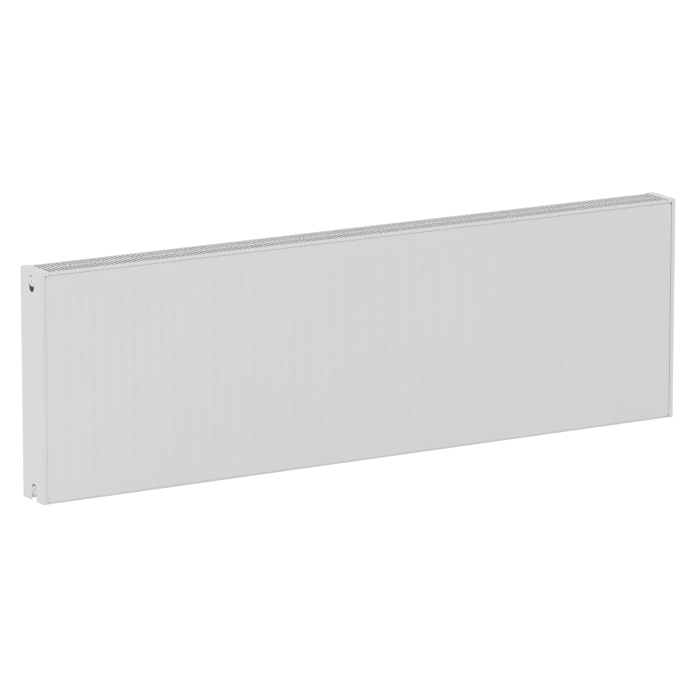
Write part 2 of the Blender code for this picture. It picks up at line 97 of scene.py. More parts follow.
bpy.ops.mesh.primitive_plane_add(size=120, location=(0, 0, cad_low[2] - FLOOR_DROP))
floor = bpy.context.object
floor.name = "studio_floor"
floor_paint = bpy.data.materials.new("floor_white")
floor_paint.use_nodes = True
floor_tree = floor_paint.node_tree
floor_shader = floor_tree.nodes["Principled BSDF"]
floor_shader.inputs["Base Color"].default_value = (0.88, 0.88, 0.88, 1)
floor_shader.inputs["Roughness"].default_value = 0.9
floor_shader.inputs["Specular IOR Level"].default_value = 0.0
burnt_out = floor_tree.nodes.new("ShaderNodeEmission")
burnt_out.inputs["Strength"].default_value = 1.05
seen = floor_tree.nodes.new("ShaderNodeLightPath")
either = floor_tree.nodes.new("ShaderNodeMixShader")
floor_tree.links.new(seen.outputs["Is Camera Ray"], either.inputs["Fac"])
floor_tree.links.new(floor_shader.outputs["BSDF"], either.inputs[1])
floor_tree.links.new(burnt_out.outputs["Emission"], either.inputs[2])
floor_tree.links.new(either.outputs["Shader"], floor_tree.nodes["Material Output"].inputs["Surface"])
floor.data.materials.append(floor_paint)


def soft_light(name, place, size, power):
    """A square area light that faces the middle of the radiator."""
    lamp = bpy.data.objects.new(name, bpy.data.lights.new(name, "AREA"))
    bpy.context.scene.collection.objects.link(lamp)
    lamp.location = place
    lamp.rotation_euler = (centre - Vector(place)).to_track_quat("-Z", "Y").to_euler()
    lamp.data.size = size
    lamp.data.energy = power


soft_light("key_soft_box", (-3.8, -2.2, 1.6), 2.5, 14)

# ---------------------------------------------------------------- water panels
# Four sheets of 1.2 mm steel, pressed with upright channels and welded in pairs round a
# flat seam. The outer two show: one to the room, one to the wall. The radiator is dipped
# in primer and powder coated, which leaves a faint orange peel, dust and rubbed edges.
SHEET = 0.0012
FACE_CORNER = 0.005
SHOULDER = 0.0024
PITCH = 0.0325
CHANNELS = 48
CHANNEL_DEPTH = 0.0014
OUTER_DROP, INNER_DROP = 0.0060, 0.0043    # from a pressed face down to its seam
seam_low, seam_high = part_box("front_panel_face_sheet")
FACE_END = seam_high[0] - 0.0083
FACE_LOW, FACE_HIGH = seam_low[2] + 0.006, seam_high[2] - 0.004
RUN_LOW, RUN_HIGH, RUN = 0.030, 0.472, 0.030    # where the channels fade in and out


def new_group(name, inputs, outputs):
    """An empty shader node group with these input and output sockets."""
    group = bpy.data.node_groups.new(name, "ShaderNodeTree")
    for label, kind, value in inputs:
        socket = group.interface.new_socket(label, in_out="INPUT", socket_type=kind)
        socket.default_value = value
    for label, kind in outputs:
        group.interface.new_socket(label, in_out="OUTPUT", socket_type=kind)
    return group, group.nodes.new("NodeGroupInput"), group.nodes.new("NodeGroupOutput")


def noise(tree, place, scale, detail, roughness=0.5):
    """A noise texture read at a socket of positions in metres."""
    texture = tree.nodes.new("ShaderNodeTexNoise")
    texture.inputs["Scale"].default_value = scale
    texture.inputs["Detail"].default_value = detail
    texture.inputs["Roughness"].default_value = roughness
    tree.links.new(place, texture.inputs["Vector"])
    return texture.outputs["Fac"]


def spread(tree, value, from_low, from_high, to_low, to_high):
    """A value stretched from one range to another and held inside it."""
    node = tree.nodes.new("ShaderNodeMapRange")
    for socket, number in zip(node.inputs[1:5], (from_low, from_high, to_low, to_high)):
        socket.default_value = number
    tree.links.new(value, node.inputs["Value"])
    return node.outputs["Result"]


def combined(tree, operation, first, second):
    """Two values multiplied or added."""
    node = tree.nodes.new("ShaderNodeMath")
    node.operation = operation
    tree.links.new(first, node.inputs[0])
    tree.links.new(second, node.inputs[1])
    return node.outputs[0]


def blended(tree, share, base, over, kind="MIX"):
    """One colour laid over another. Each is a socket or a fixed colour."""
    node = tree.nodes.new("ShaderNodeMix")
    node.data_type = "RGBA"
    node.blend_type = kind
    if isinstance(share, float):
        node.inputs[0].default_value = share
    else:
        tree.links.new(share, node.inputs[0])
    for socket, colour in ((node.inputs[6], base), (node.inputs[7], over)):
        if isinstance(colour, tuple):
            socket.default_value = colour
        else:
            tree.links.new(colour, socket)
    return node.outputs[2]


def coating_group():
    """Powder coat: peel in the normal, drift in tone and gloss, dust on ledges, worn edges."""
    group, given, made = new_group(
        "powder_coat",
        [("Colour", "NodeSocketColor", (0.8, 0.8, 0.8, 1)), ("Gloss Loss", "NodeSocketFloat", 0.35),
         ("Peel", "NodeSocketFloat", 0.1), ("Dust", "NodeSocketFloat", 0.1),
         ("Edge Wear", "NodeSocketFloat", 0.1)],
        [("Colour", "NodeSocketColor"), ("Roughness", "NodeSocketFloat"),
         ("Normal", "NodeSocketVector")])
    place = group.nodes.new("ShaderNodeTexCoord").outputs["Object"]
    shape = group.nodes.new("ShaderNodeNewGeometry")
    tone = spread(group, noise(group, place, 3.5, 4), 0.3, 0.7, 0.975, 1.0)
    tone_colour = group.nodes.new("ShaderNodeCombineColor")
    for socket in tone_colour.inputs:
        group.links.new(tone, socket)
    drifted = blended(group, 1.0, given.outputs["Colour"], tone_colour.outputs[0], "MULTIPLY")
    up = group.nodes.new("ShaderNodeSeparateXYZ")
    group.links.new(shape.outputs["Normal"], up.inputs[0])
    ledge = spread(group, up.outputs["Z"], 0.6, 1.0, 0.0, 1.0)
    specks = spread(group, noise(group, place, 160, 6, 0.7), 0.42, 0.75, 0.0, 1.0)
    dust = combined(
        group, "MULTIPLY", combined(group, "MULTIPLY", ledge, specks), given.outputs["Dust"])
    dusty = blended(group, dust, drifted, (0.52, 0.50, 0.47, 1))
    sharp = spread(group, shape.outputs["Pointiness"], 0.53, 0.62, 0.0, 1.0)
    rubbed = spread(group, noise(group, place, 90, 5, 0.65), 0.5, 0.7, 0.0, 1.0)
    wear = combined(
        group, "MULTIPLY", combined(group, "MULTIPLY", sharp, rubbed), given.outputs["Edge Wear"])
    group.links.new(blended(group, wear, dusty, (0.55, 0.56, 0.58, 1)), made.inputs["Colour"])
    uneven = spread(group, noise(group, place, 28, 3), 0.3, 0.7, -0.04, 0.06)
    gloss = combined(group, "ADD", uneven, given.outputs["Gloss Loss"])
    group.links.new(combined(group, "ADD", gloss, dust), made.inputs["Roughness"])
    peel = group.nodes.new("ShaderNodeBump")
    peel.inputs["Distance"].default_value = 0.00004
    group.links.new(noise(group, place, 520, 3, 0.45), peel.inputs["Height"])
    group.links.new(given.outputs["Peel"], peel.inputs["Strength"])
    group.links.new(peel.outputs["Normal"], made.inputs["Normal"])
    return group


def new_material(name, group, settings):
    """A material whose colour, roughness and normal come from a shader group."""
    material = bpy.data.materials.new(name)
    material.use_nodes = True
    tree = material.node_tree
    shader = tree.nodes["Principled BSDF"]
    skin = tree.nodes.new("ShaderNodeGroup")
    skin.node_tree = group
    for label, value in settings.items():
        skin.inputs[label].default_value = value
    for made, target in (("Colour", "Base Color"), ("Roughness", "Roughness"), ("Normal", "Normal")):
        tree.links.new(skin.outputs[made], shader.inputs[target])
    return material, shader


POWDER_COAT = coating_group()


def painted(name, colour, gloss_loss, peel, dust, edge_wear, coat=0.0):
    """A painted-metal material: the shared coat with this piece's own values."""
    material, shader = new_material(name, POWDER_COAT, {
        "Colour": (*colour, 1), "Gloss Loss": gloss_loss, "Peel": peel, "Dust": dust,
        "Edge Wear": edge_wear})
    shader.inputs["Coat Weight"].default_value = coat
    shader.inputs["Coat Roughness"].default_value = 0.12
    return material


def smooth(share):
    """0 below 0, 1 above 1, and 3s^2 - 2s^3 between."""
    share = np.clip(share, 0, 1)
    return share * share * (3 - 2 * share)


def patch(points, closed_across=False):
    """A grid of points as corners and four-sided faces. If closed, its last column is joined
    to its first."""
    rows, columns = points.shape[:2]
    i, j = np.meshgrid(
        np.arange(rows - 1), np.arange(columns if closed_across else columns - 1), indexing="ij")
    beyond = (j + 1) % columns
    faces = np.stack([i * columns + j, (i + 1) * columns + j,
                      (i + 1) * columns + beyond, i * columns + beyond], -1)
    return points.reshape(-1, 3), faces.reshape(-1, 4)


def slab(outer, inner):
    """Patches of a closed sheet: its two skins, and a rim all round that joins their borders."""
    def border(grid):
        return np.concatenate([grid[0, :-1], grid[:-1, -1], grid[-1, :0:-1], grid[:0:-1, 0]])

    return [patch(outer), patch(inner), patch(np.stack([border(outer), border(inner)]), True)]


def make_piece(name, patches, material, crease=35):
    """One mesh from patches: shared borders merged, faces outwards, smooth up to a crease angle."""
    starts = np.cumsum([0] + [len(corners) for corners, faces in patches])
    corners = np.concatenate([corners for corners, faces in patches])
    faces = np.concatenate([faces + start for (_, faces), start in zip(patches, starts)])
    mesh = bpy.data.meshes.new(name)
    mesh.vertices.add(len(corners))
    mesh.vertices.foreach_set("co", corners.astype(np.float32).ravel())
    mesh.loops.add(faces.size)
    mesh.loops.foreach_set("vertex_index", faces.astype(np.int32).ravel())
    mesh.polygons.add(len(faces))
    mesh.polygons.foreach_set("loop_start", np.arange(0, faces.size, 4, dtype=np.int32))
    mesh.update(calc_edges=True)
    mesh.validate()
    bm = bmesh.new()
    bm.from_mesh(mesh)
    bmesh.ops.remove_doubles(bm, verts=bm.verts, dist=0.000003)
    bmesh.ops.recalc_face_normals(bm, faces=bm.faces)
    bm.to_mesh(mesh)
    bm.free()
    mesh.shade_smooth()
    mesh.set_sharp_from_angle(angle=math.radians(crease))
    mesh.materials.append(material)
    piece = bpy.data.objects.new(name, mesh)
    bpy.context.scene.collection.objects.link(piece)
    return piece


def pressed_depth(x, z, drop):
    """How far the sheet lies behind its face: a smooth step down outside a rounded rectangle,
    plus a cosine wave of one pitch across the field that fades in and out at its ends."""
    middle, half = (FACE_LOW + FACE_HIGH) / 2, (FACE_HIGH - FACE_LOW) / 2
    over_x = np.maximum(abs(x) - (FACE_END - FACE_CORNER), 0)
    over_z = np.maximum(abs(z - middle) - (half - FACE_CORNER), 0)
    outside = np.hypot(over_x, over_z) - FACE_CORNER
    in_field = abs(x) < PITCH * CHANNELS / 2
    wave = 0.5 - 0.5 * np.cos(2 * np.pi * (x / PITCH + CHANNELS / 2))
    fade = smooth((z - RUN_LOW) / RUN) * smooth((RUN_HIGH - z) / RUN)
    return drop * smooth(outside / SHOULDER) + CHANNEL_DEPTH * wave * fade * in_field


def panel_sheet(name, face_y, inwards, drop, per_pitch, material):
    """A pressed sheet on a grid that is fine at its shoulders and where the channels run out."""
    field = np.linspace(-PITCH * CHANNELS / 2, PITCH * CHANNELS / 2, CHANNELS * per_pitch + 1)
    shoulder = FACE_END + np.concatenate([[-0.004, -0.002, -0.001], np.linspace(0, SHOULDER, 9)])
    seam = np.array([seam_high[0] - 0.005, seam_high[0] - 0.002, seam_high[0]])
    side = np.concatenate([shoulder, seam])
    columns = np.concatenate([-side[::-1], field, side])
    onwards = np.array([0.001, 0.003, 0.006, 0.014])
    rows = np.concatenate([
        np.linspace(seam_low[2], FACE_LOW, 19), FACE_LOW + onwards,
        np.linspace(RUN_LOW, RUN_LOW + RUN, 11), np.linspace(0.09, 0.41, 5),
        np.linspace(RUN_HIGH - RUN, RUN_HIGH, 11), FACE_HIGH - onwards[::-1],
        np.linspace(FACE_HIGH, seam_high[2], 13)])
    z, x = np.meshgrid(rows, columns, indexing="ij")
    depth = pressed_depth(x, z, drop)
    outer = np.stack([x, face_y + inwards * depth, z], -1)
    inner = outer + np.array([0, inwards * SHEET, 0])
    return make_piece(name, slab(outer, inner), material)


panel_white = painted("panel_enamel", (0.80, 0.80, 0.80), 0.36, 0.25, 0.10, 0.15, coat=0.15)
inner_white = painted("inner_enamel", (0.80, 0.80, 0.79), 0.45, 0.3, 0.35, 0.1)
front_back, rear_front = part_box("front_panel_inner_sheet")[1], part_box("rear_panel_inner_sheet")[0]
rear_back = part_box("rear_panel_back_sheet")[1]
room_sheet = panel_sheet("room_side_sheet", seam_low[1], 1, OUTER_DROP, 12, panel_white)
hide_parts("front_panel_face_sheet")
wall_sheet = panel_sheet("wall_side_sheet", rear_back[1], -1, OUTER_DROP, 12, panel_white)
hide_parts("rear_panel_back_sheet")
front_inner = panel_sheet("front_fin_side_sheet", front_back[1], -1, INNER_DROP, 6, inner_white)
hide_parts("front_panel_inner_sheet")
rear_inner = panel_sheet("rear_fin_side_sheet", rear_front[1], 1, INNER_DROP, 6, inner_white)
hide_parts("rear_panel_inner_sheet")
for sheet in (room_sheet, wall_sheet, front_inner, rear_inner):
    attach(sheet, "radiator")

# ------------------------------------------------------------------ convectors
# Thin steel strip folded into deep upright flutes and spot welded to the inner sheets.
# Their feet lie on the panel and their crests face the other convector.
FIN_SHEET = 0.0005
FIN_FOOT, FIN_CREST = 0.012, 0.008


def rounded_path(points, radius, steps):
    """A path with its corners rounded: each corner becomes a parabola from a point on the
    leg before it to a point on the leg after it, a radius away along both."""
    before = points[:-2] - points[1:-1]
    after = points[2:] - points[1:-1]
    start = points[1:-1] + before / np.linalg.norm(before, axis=1, keepdims=True) * radius
    end = points[1:-1] + after / np.linalg.norm(after, axis=1, keepdims=True) * radius
    t = np.linspace(0, 1, steps)[None, :, None]
    bend = (1 - t) ** 2 * start[:, None] + 2 * t * (1 - t) * points[1:-1, None] + t ** 2 * end[:, None]
    return np.concatenate([points[:1], bend.reshape(-1, points.shape[1]), points[-1:]])


def offset_path(path, distance):
    """The path moved sideways, to the left of its direction, by a distance."""
    along = np.gradient(path, axis=0)
    along /= np.linalg.norm(along, axis=1, keepdims=True)
    return path + distance * np.stack([-along[:, 1], along[:, 0]], -1)


def drawn(path, along, order=(0, 1, 2)):
    """A grid: a path of two coordinates, repeated at each place along the third. The order
    says which of the three goes to X, to Y and to Z."""
    grid = np.empty((len(along), len(path), 3))
    grid[..., :2] = path
    grid[..., 2] = np.asarray(along)[:, None]
    return grid[..., list(order)]


def convector(name, node, foot_y, towards, material):
    """A fluted strip: one rounded wave of foot, flank, crest, flank, repeated, then drawn upwards."""
    low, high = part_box(node)
    waves = round((high[0] - low[0] - FIN_FOOT) / PITCH)
    flank = (PITCH - FIN_FOOT - FIN_CREST) / 2
    steps = np.array([0, FIN_FOOT, FIN_FOOT + flank, FIN_FOOT + flank + FIN_CREST])
    reach = high[1] - low[1] - FIN_SHEET
    across = np.array([0, 0, reach, reach])
    start = low[0] + PITCH * np.arange(waves)[:, None]
    x = np.concatenate([(start + steps).ravel(), [low[0] + PITCH * waves, high[0]]])
    y = foot_y + towards * np.concatenate([np.tile(across, waves), [0, 0]])
    path = rounded_path(np.stack([x, y], -1), 0.0022, 5)
    other = offset_path(path, towards * FIN_SHEET)
    z = np.linspace(low[2], high[2], 3)
    return make_piece(name, slab(drawn(path, z), drawn(other, z)), material)


fin_white = painted("convector_enamel", (0.80, 0.80, 0.79), 0.5, 0.35, 0.5, 0.1)
front_foot, rear_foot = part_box("front_convector")[0][1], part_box("rear_convector")[1][1]
front_fins = convector("front_fluted_fins", "front_convector", front_foot, 1, fin_white)
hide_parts("front_convector")
rear_fins = convector("rear_fluted_fins", "rear_convector", rear_foot, -1, fin_white)
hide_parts("rear_convector")
for fins in (front_fins, rear_fins):
    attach(fins, "radiator")

# --------------------------------------------------------- connection sockets
# At each corner a turned steel socket with a half-inch thread is welded to a short cross
# tube, which carries the water from one panel to the other.
THREAD_PITCH = 0.001814
THREAD_WAVE = 0.00045
SOCKET_FACE = 0.008           # end face behind the cover's outer face
SOCKET_LENGTH = 0.028
SOCKET_RADIUS = 0.0125
BORE = 0.0093
CROSS_RADIUS = 0.0095
CROSS_BACK = 0.024
WATERWAY = 0.0065
cover_face = cad_low[0]
socket_low, socket_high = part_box("connection_socket_top_left")
port_y = (socket_low[1] + socket_high[1]) / 2


def port_level(node):
    low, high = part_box(node)
    return (low[2] + high[2]) / 2


def closely(outline, spacing):
    """The same outline with extra points, so that none are further apart than the spacing."""
    gaps = np.linalg.norm(np.diff(outline, axis=0), axis=1)
    counts = np.maximum(np.ceil(gaps / spacing), 1).astype(int)
    at = np.concatenate([i + np.arange(n) / n for i, n in enumerate(counts)] + [[len(gaps)]])
    return np.stack([np.interp(at, np.arange(len(outline)), part) for part in outline.T], -1)


def thread(reach, angle, start, end):
    """A right-handed cosine thread that fades over one pitch at both ends of its length."""
    fade = smooth((start - reach) / THREAD_PITCH) * smooth((reach - end) / THREAD_PITCH)
    return THREAD_WAVE * fade * np.cos(2 * np.pi * (reach / THREAD_PITCH) + angle)


def turned(outline, level, shape=None, steps=48):
    """Each (radius, reach) of an outline carried round a port's axis; reach is measured
    outwards from the left cover's face. A shape may add to the radius by angle and reach."""
    angle = np.arange(steps)[None, :] * 2 * np.pi / steps
    radius = outline[:, :1] + 0 * angle
    reach = outline[:, 1:] + 0 * angle
    if shape:
        radius = radius + shape(radius, reach, angle)
    return patch(np.stack([
        cover_face - reach, port_y + radius * np.cos(angle), level + radius * np.sin(angle)],
        -1), True)


def across(radii, y_places, x, level):
    """A round skin along Y: a radius at each place, carried round the axis."""
    angle = np.arange(40)[None, :] * 2 * np.pi / 40
    radii, places = np.asarray(radii)[:, None], np.asarray(y_places)[:, None]
    return patch(np.stack([
        x + radii * np.cos(angle), places + 0 * angle, level + radii * np.sin(angle)], -1), True)


def shaped_by(piece, tool, operation):
    """The piece joined with a tool or cut by it, and the tool put away."""
    change = piece.modifiers.new("shaping", "BOOLEAN")
    change.operation = operation
    change.object = tool
    change.solver = "EXACT"
    bpy.context.view_layer.update()
    graph = bpy.context.evaluated_depsgraph_get()
    shaped = bpy.data.meshes.new_from_object(piece.evaluated_get(graph))
    piece.modifiers.clear()
    piece.data = shaped
    bpy.data.objects.remove(tool)
    shaped.shade_smooth()
    shaped.set_sharp_from_angle(angle=math.radians(35))
    return piece


def socket(name, level, material):
    """A socket at the left end: the turned outside and cross tube, less the thread and waterway."""
    back = -SOCKET_FACE - SOCKET_LENGTH
    outside = np.array([
        (0, back), (SOCKET_RADIUS - 0.001, back), (SOCKET_RADIUS, back + 0.001),
        (SOCKET_RADIUS, -SOCKET_FACE - 0.0008), (SOCKET_RADIUS - 0.0008, -SOCKET_FACE),
        (0, -SOCKET_FACE)])
    piece = make_piece(name, [turned(outside, level)], material)
    x = cover_face + CROSS_BACK
    ends = socket_low[1], socket_high[1]
    bead = 0.0018
    tube = make_piece("cross_tube", [across(
        [0, CROSS_RADIUS + bead, CROSS_RADIUS + 0.6 * bead, CROSS_RADIUS,
         CROSS_RADIUS, CROSS_RADIUS + 0.6 * bead, CROSS_RADIUS + bead, 0],
        [ends[0], ends[0], ends[0] + 0.6 * bead, ends[0] + bead,
         ends[1] - bead, ends[1] - 0.6 * bead, ends[1], ends[1]], x, level)], material)
    shaped_by(piece, tube, "UNION")
    mouth, bottom = 0.001 - SOCKET_FACE, -SOCKET_FACE - 0.016
    bore = closely(np.array([
        (0, mouth), (BORE + 0.0022, mouth), (BORE, mouth - 0.0022), (BORE, bottom),
        (0, bottom - 0.004)]), THREAD_PITCH / 6)
    bore = bore[(bore[:, 0] > BORE - 0.00001) | (np.arange(len(bore)) % 12 == 0)]
    plug = make_piece("threaded_bore", [turned(
        bore, level, lambda radius, reach, angle: np.where(
            radius < BORE - 0.00001, 0,
            thread(reach, angle, mouth - 0.0026, bottom + 0.001)))], material)
    shaped_by(piece, plug, "DIFFERENCE")
    clear = 0.002
    water = make_piece("waterway", [across(
        [0, WATERWAY, WATERWAY, 0],
        [ends[0] - clear, ends[0] - clear, ends[1] + clear, ends[1] + clear], x, level)], material)
    return shaped_by(piece, water, "DIFFERENCE")


def turned_round(piece, name):
    """A copy for the other end of the radiator, turned by half a turn about the upright axis."""
    mesh = piece.data.copy()
    mesh.transform(Matrix.Translation((0, 2 * port_y, 0)) @ Matrix.Rotation(math.pi, 4, "Z"))
    copy = bpy.data.objects.new(name, mesh)
    bpy.context.scene.collection.objects.link(copy)
    return copy


socket_white = painted("socket_enamel", (0.78, 0.78, 0.77), 0.5, 0.4, 0.4, 0.5)
for level in ("top", "bottom"):
    left_node, right_node = f"connection_socket_{level}_left", f"connection_socket_{level}_right"
    left_socket = socket(f"threaded_socket_{level}_left", port_level(left_node), socket_white)
    right_socket = turned_round(left_socket, f"threaded_socket_{level}_right")
    for piece, node in ((left_socket, left_node), (right_socket, right_node)):
        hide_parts(node)
        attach(piece, "radiator")

# ------------------------------------------------------------------- wall lugs
# Four straps of 2 mm steel, bent to a hat shape and spot welded to the back of the rear
# panel. The wall bracket's hooks slide up between the strap and the panel.
STRAP = 0.002
HALF_WEB, HALF_STRAP, STRAP_SLOPE = 0.016, 0.032, 0.004


def strap(name, node, material):
    """A hat-shaped strap: a rounded path across, repeated upwards, with four welded dimples."""
    low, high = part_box(node)
    middle = (low[0] + high[0]) / 2
    foot = low[1] + STRAP
    web = high[1]
    corners = np.array([
        (-HALF_STRAP, foot), (-HALF_WEB - STRAP_SLOPE, foot), (-HALF_WEB, web),
        (HALF_WEB, web), (HALF_WEB + STRAP_SLOPE, foot), (HALF_STRAP, foot)])
    path = closely(rounded_path(corners, 0.0024, 6), 0.0012)
    under = offset_path(path, -STRAP)
    z = np.arange(low[2], high[2] + 0.0006, (high[2] - low[2]) / 44)
    outer, inner = (drawn(line + np.array([middle, 0]), z) for line in (path, under))
    weld_x = (HALF_WEB + STRAP_SLOPE + HALF_STRAP) / 2
    weld_z = (high[2] - low[2]) / 4
    away = np.hypot(abs(outer[..., 0] - middle) - weld_x,
                    abs(outer[..., 2] - (low[2] + high[2]) / 2) - weld_z)
    outer[..., 1] -= 0.0004 * smooth((0.0032 - away) / 0.0012)
    return make_piece(name, slab(outer, inner), material)


lug_white = painted("lug_enamel", (0.74, 0.74, 0.73), 0.42, 0.3, 0.2, 0.4)
for level in ("top", "bottom"):
    for side in ("left", "right"):
        piece = strap(f"hanging_strap_{level}_{side}", f"wall_lug_{level}_{side}", lug_white)
        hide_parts(f"wall_lug_{level}_{side}")
        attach(piece, "radiator")

# ----------------------------------------------------------------- side covers
# Each end is closed by a cap of 1 mm sheet: a plate with a slot and a notch at the two
# ports, and edges folded over the front, the top and the back.
COVER_SHEET = 0.001
COVER_BEND = 0.0016
COVER_LIP = 0.0103
TOP_LIP = 0.0083
LIP_FILLET = 0.003
HEM, HEM_BEND = 0.0022, 0.0012
HOLE_HALF = 0.01075
HOLE_LOW, HOLE_HIGH = 0.4558, 0.4922
NOTCH_TOP = 0.0387
FIELD_LOW, FIELD_HIGH = 0.046, 0.444    # the plain field between the notch and the hole
FRONT_CORNER, BACK_CORNER = 0.0026, 0.006
SUPPORT = 0.0004              # a row this close to a bend or an edge keeps the sheet flat
EASED = 0.00015               # depth by which the cut edges are eased


def thick_sheet(name, patches, thickness, material):
    """A closed sheet from patches of its outer skin, each of points, normals and faces. The
    inner skin lies one thickness behind, and a rim with eased edges joins the two."""
    starts = np.cumsum([0] + [len(points) for points, normals, faces in patches])
    points = np.concatenate([points for points, normals, faces in patches])
    normals = np.concatenate([normals for points, normals, faces in patches])
    faces = np.concatenate([faces + start for (_, _, faces), start in zip(patches, starts)])
    _, first, merged = np.unique(
        np.round(points, 6) + 0.0, axis=0, return_index=True, return_inverse=True)
    points, normals = points[first], normals[first]
    faces = merged.ravel()[faces]
    edges = np.stack([faces, np.roll(faces, -1, axis=1)], -1).reshape(-1, 2)
    edges = edges[edges[:, 0] != edges[:, 1]]
    _, first, times = np.unique(
        np.sort(edges, axis=1), axis=0, return_index=True, return_counts=True)
    rim = edges[first[times == 1]]
    eased = np.zeros((len(points), 1))
    eased[rim.ravel()] = EASED
    skins = np.concatenate([points - eased * normals, points - (thickness - eased) * normals])
    sides = np.concatenate([rim[:, ::-1], rim + len(points)], 1)
    faces = np.concatenate([faces, faces[:, ::-1] + len(points), sides])
    return make_piece(name, [(skins, faces)], material)


def facing(grid, normal):
    """A patch with its normals: one direction for the whole patch, or a grid of them."""
    points, faces = patch(grid)
    return points, np.broadcast_to(normal, grid.shape).reshape(-1, 3), faces


def arc(middle, radius, start, end, steps):
    """Points round a circle, from one angle in degrees to another."""
    angle = np.radians(np.linspace(start, end, steps + 1))[:, None]
    return np.asarray(middle) + radius * np.concatenate([np.cos(angle), np.sin(angle)], 1)


def evenly(line, count):
    """The line with its points moved along it, to be evenly spaced and as many as asked."""
    run = np.concatenate([[0], np.cumsum(np.linalg.norm(np.diff(line, axis=0), axis=1))])
    at = np.linspace(0, run[-1], count)
    return np.stack([np.interp(at, run, part) for part in line.T], -1)


def between(start, end, shares):
    """A grid of points, each row a straight share of the way from one line to another."""
    shares = np.asarray(shares)[:, None, None]
    return (1 - shares) * start + shares * end


